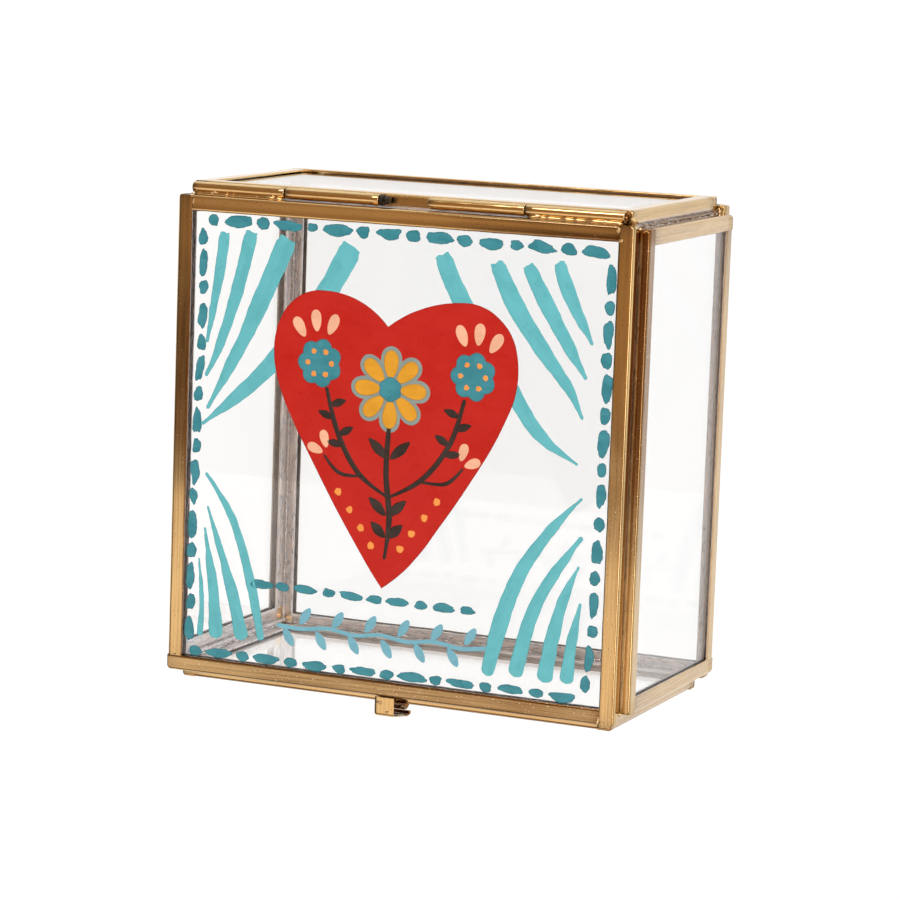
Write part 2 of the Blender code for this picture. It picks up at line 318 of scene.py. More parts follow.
class Nodes:
    """The procedural nodes that feed the shader of a material or of the world."""

    def __init__(self, owner, shader="Principled BSDF"):
        self.owner = owner
        owner.use_nodes = True
        self.tree = owner.node_tree
        self.shader = self.tree.nodes[shader]

    def set(self, **values):
        for name, value in values.items():
            self.shader.inputs[name.replace("_", " ")].default_value = value

    def link(self, source, name):
        self.tree.links.new(source, self.shader.inputs[name])

    def feed(self, socket, value):
        """A socket's input, which is a number, a colour or another node's output."""
        if isinstance(value, (int, float)):
            socket.default_value = value
        elif isinstance(value, tuple):
            socket.default_value = (*value, 1)
        else:
            self.tree.links.new(value, socket)

    def add(self, kind, **inputs):
        """A new node of this kind, with its inputs fed."""
        node = self.tree.nodes.new(f"ShaderNode{kind}")
        for name, value in inputs.items():
            self.feed(node.inputs[name.replace("_", " ")], value)
        return node

    def attribute(self, name, output):
        node = self.add("Attribute")
        node.attribute_name = name
        return node.outputs[output]

    def place(self, output):
        return self.add("TexCoord").outputs[output]

    def scaled(self, vector, scale):
        node = self.add("Mapping", Vector=vector)
        node.inputs["Scale"].default_value = scale
        return node.outputs["Vector"]

    def noise(self, vector, scale=1.0, detail=3.0, roughness=0.55):
        node = self.add("TexNoise", Vector=vector, Scale=scale, Detail=detail, Roughness=roughness)
        return node.outputs["Fac"]

    def ranged(self, value, low, high, to_low=0.0, to_high=1.0):
        node = self.add("MapRange", Value=value, From_Min=low, From_Max=high, To_Min=to_low, To_Max=to_high)
        return node.outputs["Result"]

    def part(self, vector, axis):
        return self.add("SeparateXYZ", Vector=vector).outputs[axis]

    def sum(self, operation, first, second):
        node = self.add("Math")
        node.operation = operation
        self.feed(node.inputs[0], first)
        self.feed(node.inputs[1], second)
        return node.outputs["Value"]

    def mix(self, factor, first, second):
        """Between two colours."""
        node = self.add("Mix")
        node.data_type = "RGBA"
        for socket, value in ((0, factor), (6, first), (7, second)):
            self.feed(node.inputs[socket], value)
        return node.outputs[2]

    def blend(self, factor, first, second):
        """Between two numbers."""
        node = self.add("Mix")
        for socket, value in ((0, factor), (2, first), (3, second)):
            self.feed(node.inputs[socket], value)
        return node.outputs[0]

    def bump(self, height, strength, distance):
        node = self.add("Bump", Strength=strength, Distance=distance, Height=height)
        self.link(node.outputs["Normal"], "Normal")


def new_material(name):
    return Nodes(bpy.data.materials.new(name))


def brass_material():
    """Drawn brass that tone tins and that its darkness value darkens: it is brown at 1, red-brown at 2 and
    polished at -1. Tone on faces that look right is a painted pale sheen; the darkness holds scorch and
    tarnish with painted shade, and its polished colour below 0 is a painted highlight.
    """
    nodes = new_material("aged_brass")
    grain = nodes.attribute("grain", "Vector")
    inside = nodes.attribute("tone", "Fac")
    scorch_and_shade = nodes.attribute("scorch_and_shade", "Fac")
    streaks = nodes.noise(nodes.scaled(grain, (0.05, 2.6, 1.0)), detail=4)
    clouds = nodes.noise(nodes.scaled(grain, (0.09, 0.5, 1.0)), detail=3)
    pits = nodes.noise(nodes.scaled(grain, (2.1, 2.1, 1.0)), detail=1)
    flecks = nodes.noise(nodes.scaled(grain, (3.1, 3.1, 1.7)), detail=1)
    patches = nodes.ranged(clouds, 0.45, 0.75, 0.0, 0.15)
    # how brown the metal is: scorch and tarnish with painted shade, plus random patches and streaks
    tarnish_and_shade = nodes.sum("ADD", nodes.sum("ADD", scorch_and_shade, patches), nodes.ranged(streaks, 0.5, 0.7, 0.0, 0.12))
    browned = nodes.ranged(tarnish_and_shade, 0.0, 1.0)
    metal = nodes.mix(nodes.ranged(streaks, 0.35, 0.65), (0.755, 0.53, 0.25), (0.69, 0.465, 0.205))
    brown = nodes.mix(nodes.ranged(streaks, 0.38, 0.62), (0.50, 0.35, 0.172), (0.35, 0.235, 0.112))
    umber = nodes.mix(nodes.ranged(streaks, 0.35, 0.65), (0.25, 0.115, 0.035), (0.14, 0.06, 0.018))
    metal = nodes.mix(browned, metal, brown)
    metal = nodes.mix(nodes.ranged(tarnish_and_shade, 1.0, 2.0), metal, umber)
    # below 0: the bright polished colour, which serves as a painted highlight
    metal = nodes.mix(nodes.ranged(tarnish_and_shade, 0.0, -1.0), metal, (0.98, 0.72, 0.36))
    metal = nodes.mix(nodes.ranged(pits, 0.68, 0.74, 0.0, 0.6), metal, (0.13, 0.075, 0.03))
    fleck = nodes.sum("MULTIPLY", nodes.ranged(flecks, 0.70, 0.76, 0.0, 0.7), nodes.sum("ADD", browned, 0.2))
    metal = nodes.mix(fleck, metal, (0.92, 0.80, 0.58))
    blots = nodes.noise(nodes.scaled(grain, (0.3, 1.1, 1.0)), detail=5, roughness=0.65)
    tin = nodes.mix(nodes.ranged(blots, 0.38, 0.60), (0.70, 0.71, 0.75), (0.96, 0.87, 0.82))
    seams = nodes.ranged(nodes.sum("ABSOLUTE", nodes.sum("SUBTRACT", clouds, 0.5), 0.0), 0.0, 0.02, 0.55, 0.0)
    tin = nodes.mix(seams, tin, (0.16, 0.14, 0.13))
    nodes.link(nodes.mix(inside, metal, tin), "Base Color")
    duller = nodes.sum("MULTIPLY", browned, 0.04)
    roughness = nodes.sum("ADD", nodes.ranged(clouds, 0.3, 0.7, 0.08, 0.13), duller)
    nodes.link(nodes.blend(inside, roughness, nodes.ranged(blots, 0.3, 0.7, 0.36, 0.5)), "Roughness")
    nodes.set(Metallic=1.0)
    nodes.bump(nodes.sum("ADD", streaks, nodes.sum("MULTIPLY", pits, 0.4)), 0.12, 0.00004)
    return nodes.owner


def solder_material():
    """Solder toned like the brass, dark with flux where its darkness value is high, or left tin grey."""
    nodes = new_material("toned_solder")
    grain = nodes.attribute("grain", "Vector")
    tone = nodes.attribute("tone", "Fac")
    scorch_and_shade = nodes.attribute("scorch_and_shade", "Fac")
    lumps = nodes.noise(nodes.scaled(grain, (1.3, 1.3, 1.0)), detail=4)
    sparks = nodes.noise(nodes.scaled(grain, (2.9, 2.9, 1.3)), detail=1)
    gold = nodes.mix(nodes.ranged(lumps, 0.35, 0.55), (0.36, 0.22, 0.10), (0.78, 0.55, 0.27))
    flux = nodes.mix(nodes.ranged(lumps, 0.45, 0.62), (0.09, 0.05, 0.025), (0.42, 0.26, 0.12))
    metal = nodes.mix(scorch_and_shade, gold, flux)
    metal = nodes.mix(nodes.ranged(sparks, 0.64, 0.68), metal, (0.90, 0.72, 0.50))
    tin = nodes.mix(nodes.ranged(lumps, 0.35, 0.60), (0.42, 0.43, 0.46), (0.78, 0.71, 0.68))
    nodes.link(nodes.mix(tone, metal, tin), "Base Color")
    nodes.link(nodes.ranged(lumps, 0.3, 0.65, 0.42, 0.18), "Roughness")
    nodes.set(Metallic=1.0)
    nodes.bump(lumps, 0.55, 0.00012)
    return nodes.owner


def glass_material():
    nodes = new_material("clear_glass")
    nodes.set(Base_Color=(0.994, 0.998, 0.997, 1), Roughness=0.0, IOR=1.42, Transmission_Weight=1.0)
    return nodes.owner


def pin_material():
    """Blackened steel with a worn, hammered surface."""
    nodes = new_material("black_steel")
    dents = nodes.noise(nodes.place("Object"), scale=1800, detail=3)
    colour = nodes.mix(nodes.ranged(dents, 0.4, 0.7), (0.018, 0.015, 0.013), (0.085, 0.065, 0.05))
    nodes.link(colour, "Base Color")
    nodes.link(nodes.ranged(dents, 0.3, 0.7, 0.6, 0.38), "Roughness")
    nodes.set(Metallic=0.85)
    nodes.bump(dents, 0.5, 0.0001)
    return nodes.owner


def paint_material(name, colour, rim, uneven):
    """Enamel that lies a little thinner in places, and darker along its rim with painted shade."""
    nodes = new_material(name)
    grain = nodes.attribute("grain", "Vector")
    edge = nodes.attribute("tone", "Fac")
    brush = nodes.noise(nodes.scaled(grain, (0.14, 0.9, 1.0)), detail=2)
    cloud = nodes.noise(nodes.scaled(grain, (0.16, 0.16, 1.0)), detail=2)
    lighter = tuple(min(1.0, value * (1 + uneven) + 0.12 * uneven) for value in colour)
    darker = tuple(value * (1 - uneven) for value in colour)
    hairs = nodes.ranged(brush, 0.35, 0.65, 0.0, 0.4)
    worked = nodes.sum("ADD", hairs, nodes.ranged(cloud, 0.38, 0.62, 0.0, 0.6))
    body = nodes.mix(worked, darker, lighter)
    # the rim colour is painted shade along the paint's edge
    nodes.link(nodes.mix(nodes.ranged(edge, 0.2, 1.0), body, rim), "Base Color")
    nodes.link(nodes.ranged(cloud, 0.3, 0.7, 0.24, 0.32), "Roughness")
    nodes.set(IOR=1.45)
    nodes.bump(brush, 0.10, 0.00003)
    return nodes.owner


def floor_material():
    """A pale sheet, lit from below as a product table is."""
    nodes = new_material("pale_floor")
    shade = nodes.noise(nodes.place("Object"), scale=3.0, detail=2)
    nodes.link(nodes.mix(shade, (0.13, 0.13, 0.13), (0.15, 0.15, 0.15)), "Base Color")
    nodes.set(Roughness=0.8, Emission_Color=(1, 1, 1, 1), Emission_Strength=0.93)
    return nodes.owner


# Channel strips


def lip_curl(depth):
    return LIP_CURL * smooth_step((depth - CURL_FROM) / (CHANNEL_DEPTH - CURL_FROM))


def channel_section():
    """(across, depth) points over the folded channel's outside, and back through its hollow.

    Across is positive on the box's inside.
    """
    tip = CHANNEL_DEPTH - LIP_SHORT
    depths = [tip, tip - 0.08, 3.0, 2.7, 2.3, 1.7, 1.2]
    left = [(-CHANNEL_HALF + lip_curl(depth), depth) for depth in depths]
    left[0] = (left[0][0] + 0.08, tip)
    middle = CHANNEL_HALF - FOLD_RADIUS
    fold = []
    for i in range(FOLD_STEPS + 1):
        angle = math.radians(180 + 90 * i / FOLD_STEPS)
        fold.append((-middle + FOLD_RADIUS * math.cos(angle), FOLD_RADIUS * (1 + math.sin(angle))))
    outer_left = left + fold + [(-0.4, 0)]
    outer = outer_left + [(0, 0)] + [(-across, depth) for across, depth in reversed(outer_left)]
    hollow = CHANNEL_HALF - CHANNEL_SHEET
    inner_left = [(-hollow + lip_curl(depth), depth) for depth in (tip, 2.9, 2.5, 1.6)]
    inner_left[0] = (inner_left[0][0] - 0.06, tip)
    inner_left.append((-hollow, CHANNEL_SHEET + 0.2))
    inner_left.append((-hollow + 0.2, CHANNEL_SHEET))
    return outer, [(-across, depth) for across, depth in inner_left] + list(reversed(inner_left))


def plug_section():
    """(across, depth) points round the solder that fills a channel's open end, sunk into its sheet."""
    half = CHANNEL_HALF - CHANNEL_SHEET / 2
    tip = CHANNEL_DEPTH - LIP_SHORT - 0.1
    left = [(-half + lip_curl(depth), depth) for depth in (tip - 0.15, 2.6, 1.8, 1.0, 0.45)]
    left = [(-half + 0.5, tip)] + left + [(-half + 0.3, CHANNEL_SHEET / 2)]
    return left + [(-across, depth) for across, depth in reversed(left)]


def strip_stations(low, high):
    """Places of a strip's cross-sections, closer together near its ends."""
    margin = END_STEPS[-1]
    count = round((high - low - 2 * margin) / RING_STEP)
    stations = [low + step for step in END_STEPS]
    stations += [low + margin + (high - low - 2 * margin) * i / count for i in range(1, count)]
    return stations + [high - step for step in reversed(END_STEPS)]


def end_inset(to_end):
    """How far the rounded corner at a free end lies in from the web."""
    missing = max(END_ROUND - to_end, 0.0)
    return END_ROUND - math.sqrt(END_ROUND**2 - missing**2)


def end_reaches(pane, along, low, high):
    """How far a strip runs on past its start and past its end: nothing where that end is free."""
    corners = [corner for side in STRIPS[pane] for corner in box_mm(f"{pane}_channel_{side}")]
    places = [along.dot(corner) for corner in corners]
    start, end = sorted((along.dot(low), along.dot(high)))
    at_start = 0.0 if start < min(places) + 0.5 else END_REACH
    at_end = 0.0 if end > max(places) - 0.5 else END_REACH
    return at_start, at_end


def strip_painted_shading(pane, side, across, depth):
    """How much painted shade darkens a strip at this place of its section; the painted highlight on the lid's
    rear strip counts below 0.
    """
    if pane == "lid":
        highlight = REAR_HIGHLIGHT * bell(depth - HIGHLIGHT_DEPTH, HIGHLIGHT_SPREAD) if side == "rear" else 0.0
        return LIP_SHADE * smooth_step((depth - 2.95) / 0.2) - highlight
    if pane == "front":
        return FOLD_SHADE * smooth_step((-across - 0.9) / 0.5)
    return 0.0


def make_strip(pane, side, material, body):
    """A folded strip where its solid is, with slightly uneven lips and faces."""
    node = f"{pane}_channel_{side}"
    low, high = box_mm(node)
    outward = SIDES[side]
    inside = INSIDE[pane]
    along = outward.cross(inside)
    size = high - low
    length = abs(along.dot(size))
    at_start, at_end = end_reaches(pane, along, low, high)
    web = (low + high) / 2 + outward * abs(outward.dot(size)) / 2
    seed = letter_sum(node, 97)
    # tarnish with painted shade and painted reflection along the strip, from the table above
    tarnish_and_shade = running(*TARNISH_AND_SHADE.get(f"{pane}_{side}", PLAIN_TARNISH))
    backward = sum(along) < 0
    outer, inner = channel_section()
    section = outer + inner
    travelled = [0.0]
    for before, after in zip(section, section[1:]):
        travelled.append(travelled[-1] + math.dist(before, after))
    tones = []
    for across, depth in outer:
        looks = outward if depth < 0.5 else inside * across
        # faces that look right take some tin grey as a painted pale sheen
        grey = RIGHT_FACE_SHEEN.get(pane, 0.0) if looks.x > 0.1 else 0.0
        tones.append(max(grey, smooth_step((across - 0.5) / 0.7)))
    tones += [0.0 if pane == "rear" else 1.0] * len(inner)
    # painted shade and painted highlight across each strip's section
    painted_shading = [strip_painted_shading(pane, side, across, depth) for across, depth in section]

    def placed(station, across, depth):
        return web + along * (station - length / 2) + inside * across - outward * depth

    draft = Draft()
    rings = []
    for station in strip_stations(-at_start, length + at_end):
        to_end = min(station + at_start, length + at_end - station)
        free = (at_start if station < length / 2 else at_end) == 0
        bevel = 1 - smooth_step(to_end / END_BEVEL)
        waver = 0.05 * wander(station, seed, 0.23) + 0.035 * wander(station, seed + 9, 0.9) - 0.05
        points = []
        for across, depth in section:
            lip = smooth_step((depth - 2.2) / 1.0)
            flat = smooth_step((depth - 0.3) / 0.8) * (1 - smooth_step((depth - 2.3) / 0.9))
            press = 0.035 * (1 + wander(station, seed + (3 if across > 0 else 5), 0.12)) * flat
            near_web = 1 - smooth_step(depth / 1.4)
            depth += lip * waver
            across -= math.copysign(press, across)
            across *= 1 - 0.02 * bevel
            if free:
                depth += end_inset(to_end) * near_web
            points.append(placed(station, across, depth))
        grain = [(station, place, seed) for place in travelled]
        share = station / length
        # heat scorch near soldered ends, tarnish with painted shade along the strip, and painted shade and
        # highlight across its section
        soldered = math.exp(-to_end / SCORCH_REACH) * (0.55 + 0.5 * wander(station, seed + 20, 0.5))
        scorch_and_shade = soldered + tarnish_and_shade(1 - share if backward else share)
        past_corner = smooth_step((to_end - CHANNEL_DEPTH + 0.2) / 0.4) if free else 1.0
        grey = [past_corner * tone for tone in tones]
        rings.append(draft.ring(points, grain, grey, [scorch_and_shade + past_corner * shading for shading in painted_shading]))
    draft.loft(rings)
    for turn, reach in ((1, at_start), (-1, at_end)):
        if reach == 0:
            add_plug(draft, placed, length, turn, seed + turn)
    return draft.piece(f"strip_{pane}_{side}", material, body, [node])


def add_plug(draft, placed, length, turn, seed):
    """A domed drop of solder in a strip's open mouth, at its start or, where turn is -1, at its far end."""
    middle = CHANNEL_DEPTH / 2
    section = plug_section()
    rings = []
    for step, share in zip(PLUG_STEPS, PLUG_SHARES):
        station = step if turn > 0 else length - step
        points = []
        for across, depth in section:
            swell = share * (1 + 0.05 * wander(across + depth, seed, 0.8))
            points.append(placed(station, turn * across * swell, middle + (depth - middle) * swell))
        grain = [(step + across, depth, seed) for across, depth in section]
        rings.append(draft.ring(points, grain, [0.0] * len(section), PLUG_SCORCH))
    draft.loft(rings)


def make_strips(material):
    for pane, sides in STRIPS.items():
        for side in sides:
            make_strip(pane, side, material, "lid" if pane == "lid" else "box")


# Hinge and clasp


def make_tube(name, node, material, body):
    """A rolled tube with softened ends and a groove where the sheet's edges meet."""
    low, high = box_mm(node)
    centre = (low + high) / 2
    outer = (high.y - low.y) / 2
    half = (high.x - low.x) / 2
    end = [(TUBE_BORE, 0.10), (TUBE_BORE + 0.06, 0.02)]
    end += [(outer - 0.12, 0.0), (outer - 0.03, 0.04), (outer, 0.14)]
    profile = [(radius, -half + inset) for radius, inset in end]
    straight = half - end[-1][1]
    profile += [(outer, straight * (2 * i / TUBE_STEPS - 1)) for i in range(1, TUBE_STEPS)]
    profile += [(radius, half - inset) for radius, inset in reversed(end)]
    seed = letter_sum(name, 89)
    draft = Draft()
    rings = []
    for radius, x in profile:
        skin = smooth_step((radius - TUBE_BORE - 0.1) / 0.2)
        points = []
        for angle in turns(TUBE_SIDES):
            away = abs((angle - SEAM_ANGLE + math.pi) % (2 * math.pi) - math.pi)
            groove = 0.14 * bell(away, 0.07)
            sag = 0.02 * (1 + wander(x + 3 * math.cos(angle), seed, 0.3))
            r = radius - (groove + sag) * skin
            points.append(centre + Vector((x, r * math.cos(angle), r * math.sin(angle))))
        grain = [(x, radius * angle, seed) for angle in turns(TUBE_SIDES)]
        # darker towards each end, and painted shade in the bore so that an open end reads dark
        scorch_and_shade = 0.7 * math.exp(-(half - abs(x)) / 0.8) + 2 * (1 - skin)
        rings.append(draft.ring(points, grain, [0.0] * TUBE_SIDES, scorch_and_shade))
    for before, after in zip(rings, rings[1:] + rings[:1]):
        draft.bridge(before, after)
    return draft.piece(name, material, body, [node], crease=50)


def recolour(name, material):
    """Put this material on a CAD node that keeps its own shape."""
    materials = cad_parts[name].data.materials
    materials.clear()
    materials.append(material)


def make_hinge(brass, steel):
    for side in ("left", "right"):
        for body in ("box", "lid"):
            make_tube(f"hinge_tube_{body}_{side}", f"hinge_knuckle_{body}_{side}", brass, body)
        recolour(f"hinge_pin_{side}", steel)


def rounded(points, radius, steps):
    """The line with each inner corner replaced by an arc of about this radius."""
    smooth = [Vector(points[0])]
    for before, corner, after in zip(points, points[1:], points[2:]):
        corner = Vector(corner)
        back = Vector(before) - corner
        ahead = Vector(after) - corner
        cut = min(radius / math.tan(back.angle(ahead) / 2), back.length * 0.45, ahead.length * 0.45)
        start = corner + back.normalized() * cut
        end = corner + ahead.normalized() * cut
        for i in range(steps + 1):
            t = i / steps
            smooth.append(start * (1 - t) ** 2 + corner * 2 * t * (1 - t) + end * t**2)
    smooth.append(Vector(points[-1]))
    return smooth


def resampled(line, step):
    """Points at about this spacing along the line."""
    result = [line[0]]
    for before, after in zip(line, line[1:]):
        count = max(1, round((after - before).length / step))
        result += [before.lerp(after, i / count) for i in range(1, count + 1)]
    return result


def make_clasp_strip(name, half_width, points, material, body, scorch_and_shade, replaced=()):
    """A bent strip of sheet along (y, z) points, with rounded edges and small dents.

    The pair of darkness values gives how dark it is on the side to the right of its way, and on the other:
    painted shade where a face lies in shadow in the hook.
    """
    half = CLASP_HALF_SHEET - 0.02
    line = resampled(rounded(points, 0.7, 7), 0.28)
    seed = letter_sum(name, 83)
    shares = [-1, -0.96, -0.86, -0.6, -0.3, 0, 0.3, 0.6, 0.86, 0.96, 1]
    outer = [(share * half_width, 1 - 0.55 * smooth_step((abs(share) - 0.86) / 0.14)) for share in shares]
    section = outer + [(x, -height) for x, height in reversed(outer)]
    painted_shading = [scorch_and_shade[0]] * len(outer) + [scorch_and_shade[1]] * len(outer)
    draft = Draft()
    rings = []
    travelled = 0.0
    for number, point in enumerate(line):
        ahead = (line[min(number + 1, len(line) - 1)] - line[max(number - 1, 0)]).normalized()
        side = Vector((-ahead.y, ahead.x))
        travelled += (point - line[max(number - 1, 0)]).length
        points3 = []
        for x, height in section:
            dip = CLASP_DENT * wander(travelled + x * 0.8, seed, 0.55)
            dip *= wander(x * 1.3 - travelled * 0.4, seed + 4, 0.6)
            waist = 1 - 0.03 * (1 + wander(travelled, seed + 8, 0.7))
            place = point + side * (half * height + dip)
            points3.append(Vector((x * waist, place.x, place.y)))
        grain = [(travelled, x + height, seed) for x, height in section]
        rings.append(draft.ring(points3, grain, [0.0] * len(section), painted_shading))
    draft.loft(rings)
    return draft.piece(name, material, body, replaced)


def make_clasp(material, solder):
    low, high = box_mm("clasp_hook")
    half_width = (high.x - low.x) / 2
    leg_y = high.y - CLASP_HALF_SHEET
    flap_z = high.z - CLASP_HALF_SHEET - 0.1
    foot_y = low.y + CLASP_HALF_SHEET
    lip_z = low.z + CLASP_HALF_SHEET
    hook = [
        (high.y + 0.25, flap_z),
        (foot_y + HOOK_LEAN, flap_z),
        (foot_y, lip_z + HOOK_BEND),
        (foot_y + 0.25, lip_z),
        (foot_y + HOOK_LIP, lip_z),
    ]
    # painted shade: the hook's inner face, its leg against the lid and the catch inside the hook are made
    # dark
    make_clasp_strip("clasp_hook_sheet", half_width, hook, material, "lid", (2.0, 0.15), ["clasp_hook"])
    leg = [(leg_y, high.z - HOOK_LEG), (leg_y, high.z - 0.4)]
    make_clasp_strip("clasp_hook_leg", half_width - 0.05, leg, material, "lid", (1.5, 1.5))
    draft = Draft()
    add_lump(draft, (0.9, foot_y + 1.9, high.z - 0.18), (0.55, 0.28, 0.13), 57, rough=0.4)
    add_lump(draft, (-1.0, high.y - 0.9, high.z - 0.18), (0.8, 0.5, 0.12), 58, rough=0.4)
    draft.piece("solder_clasp", solder, "lid")
    low, high = box_mm("clasp_catch")
    half_width = (high.x - low.x) / 2
    tab_y = high.y - CLASP_HALF_SHEET
    catch = [
        (tab_y, high.z),
        (tab_y, high.z - CATCH_TAB),
        (low.y + CLASP_HALF_SHEET, high.z - CATCH_NOSE),
        (tab_y, low.z + CATCH_TAB),
        (tab_y, low.z),
    ]
    make_clasp_strip("clasp_catch_sheet", half_width, catch, material, "box", (2.0, 1.6), ["clasp_catch"])


# Solder


def add_bead(draft, start, end, radius, seed, lumpy=0.3, tone=0.0, scorch_and_shade=0.0):
    """A run of solder from start to end, thick and thin in turns."""
    start = Vector(start)
    end = Vector(end)
    axis = (end - start).normalized()
    across = axis.orthogonal().normalized()
    other = axis.cross(across)
    length = (end - start).length
    count = max(6, round(length / 0.45))
    rings = []
    for i in range(count + 1):
        travelled = length * i / count
        to_end = min(travelled, length - travelled)
        swell = 1 + lumpy * (wander(travelled, seed, 0.8) + 0.6 * wander(travelled, seed + 3, 2.3))
        r = radius * max(swell, 0.25) * math.sqrt(max(0.02, min(1.0, to_end / (radius * 1.2))))
        drift = across * wander(travelled, seed + 5, 0.4) * radius * lumpy
        middle = start + axis * travelled + drift
        points = []
        for angle in turns(BEAD_SIDES):
            points.append(middle + (across * math.cos(angle) + other * math.sin(angle)) * r)
        grain = [(travelled, r * angle, seed) for angle in turns(BEAD_SIDES)]
        rings.append(draft.ring(points, grain, [tone] * BEAD_SIDES, scorch_and_shade))
    draft.loft(rings)


def add_lump(draft, centre, size, seed, scorch_and_shade=0.0, rough=0.22):
    """A flattened drop of solder. size holds its half measures along X, Y and Z."""
    centre = Vector(centre)
    rings = []
    for row in range(1, LUMP_ROWS):
        height = math.pi * (row / LUMP_ROWS - 0.5)
        level = math.cos(height)
        points = []
        for angle in turns(LUMP_SIDES):
            way = Vector((level * math.cos(angle), level * math.sin(angle), math.sin(height)))
            swell = 1 + rough * noise.noise(way * 1.6 + Vector((seed * 3.7, seed * 1.9, 0)))
            points.append(centre + Vector((way.x * size[0], way.y * size[1], way.z * size[2])) * swell)
        grain = [(point.x, point.y + point.z, seed) for point in points]
        rings.append(draft.ring(points, grain, [0.0] * LUMP_SIDES, scorch_and_shade))
    for before, after in zip(rings, rings[1:]):
        draft.bridge(before, after)
    draft.fan(rings[-1], centre + Vector((0, 0, size[2])), (centre.x, centre.y, seed), 0.0)
    draft.fan(rings[0][::-1], centre - Vector((0, 0, size[2])), (centre.x, centre.y, seed), 0.0)


def wall_faces():
    """Where the walls' outer faces are: half the width, and the Y of the front and the rear face."""
    return box_mm("right_channel_top")[1].x, box_mm("front_channel_top")[0].y, box_mm("rear_channel_top")[1].y


def make_corner_solder(material):
    """Solder down the four upright corners, in the open notch outside and as a fillet inside."""
    width, front, rear = wall_faces()
    low = box_mm("left_channel_rear")[0].z
    high = box_mm("left_channel_rear")[1].z
    notch = CHANNEL_DEPTH + 0.15  # from the walls' outer faces in to where the two walls meet
    for name, sign_x, sign_y, face_y in (
        ("front_left", -1, -1, front),
        ("front_right", 1, -1, front),
        ("rear_left", -1, 1, rear),
        ("rear_right", 1, 1, rear),
    ):
        seed = 11 + 5 * sign_x + 2 * sign_y
        x = sign_x * (width - notch)
        y = face_y - sign_y * notch
        draft = Draft()
        foot = Vector((x + sign_x * 0.02, y + sign_y * 0.02, low - 3))
        head = Vector((foot.x, foot.y, high + 2.9))
        add_bead(draft, foot, head, 0.34, seed, 0.35, scorch_and_shade=1.0)
        draft.piece(f"solder_outside_{name}", material, "box")
        draft = Draft()
        x -= sign_x * 0.35
        y -= sign_y * 0.35
        add_bead(draft, (x, y, low - 2.9), (x, y, high + 2.8), 0.62, seed + 1, 0.25, 1.0)
        draft.piece(f"solder_inside_{name}", material, "box")


def make_base_solder(material):
    """A thin fillet round the inside, where the walls stand on the base."""
    width, front, rear = wall_faces()
    inner_x = width - CHANNEL_DEPTH
    z = box_mm("base_channel_rear")[1].z + 0.15
    runs = {
        "rear": ((-inner_x, rear - CHANNEL_DEPTH, z), (inner_x, rear - CHANNEL_DEPTH, z)),
        "front": ((-inner_x, front + CHANNEL_DEPTH, z), (inner_x, front + CHANNEL_DEPTH, z)),
        "left": ((-inner_x, front + CHANNEL_DEPTH, z), (-inner_x, rear - CHANNEL_DEPTH, z)),
        "right": ((inner_x, front + CHANNEL_DEPTH, z), (inner_x, rear - CHANNEL_DEPTH, z)),
    }
    for seed, (name, (start, end)) in enumerate(runs.items()):
        draft = Draft()
        add_bead(draft, start, end, 0.30, 31 + seed, 0.35, 1.0)
        draft.piece(f"solder_base_{name}", material, "box")


def make_rim_solder(material):
    """Drops on the walls' top corners and on the seams of the lid's own corners."""
    width, front, rear = wall_faces()
    top = box_mm("right_channel_top")[1].z
    draft = Draft()
    for sign_x in (-1, 1):
        for face_y, sign_y in ((front, -1), (rear, 1)):
            seed = 40 + 3 * sign_x + sign_y
            x = sign_x * (width - CHANNEL_DEPTH - 0.1)
            y = face_y - sign_y * (CHANNEL_DEPTH + 0.1)
            add_lump(draft, (x, y, top - 0.30), (0.75, 0.75, 0.38), seed)
            add_lump(draft, (x + sign_x * 0.9, y - sign_y * 0.2, top - 0.25), (0.55, 0.4, 0.28), seed + 7)
            add_lump(draft, (x, y, box_mm("base_channel_rear")[1].z + 0.3), (0.9, 0.9, 0.4), seed + 13, 0.8)
    draft.piece("solder_wall_corners", material, "box")
    lid_low, lid_high = box_mm("lid_channel_right")
    seam = lid_high.x - CHANNEL_DEPTH
    face = lid_high.z - 0.085
    front_seam = lid_low.y + CHANNEL_DEPTH
    rear_seam = lid_high.y - CHANNEL_DEPTH
    draft = Draft()
    drops = [
        ((seam, lid_high.y - 0.9, face), (0.35, 0.65, 0.06)),
        ((seam + 0.5, rear_seam + 0.4, face), (0.55, 0.3, 0.05)),
        ((seam, lid_low.y + 1.0, face), (0.3, 0.8, 0.06)),
        ((seam + 0.9, lid_low.y + 0.7, face), (0.6, 0.25, 0.05)),
        ((-seam + 0.1, lid_high.y - 1.2, face), (0.25, 0.6, 0.05)),
        ((-seam - 1.4, front_seam, face), (0.5, 0.2, 0.045)),
    ]
    for number, (centre, size) in enumerate(drops):
        add_lump(draft, centre, size, 60 + number, rough=0.5)
    for sign_x, y in ((1, lid_low.y + 0.5), (1, lid_high.y - 0.5), (-1, front_seam), (-1, lid_high.y - 0.6)):
        place = (sign_x * (lid_high.x - 0.18), y, lid_high.z - 1.4)
        add_lump(draft, place, (0.16, 0.4, 0.8), 70 + round(y), rough=0.4)
    draft.piece("solder_lid_corners", material, "lid")


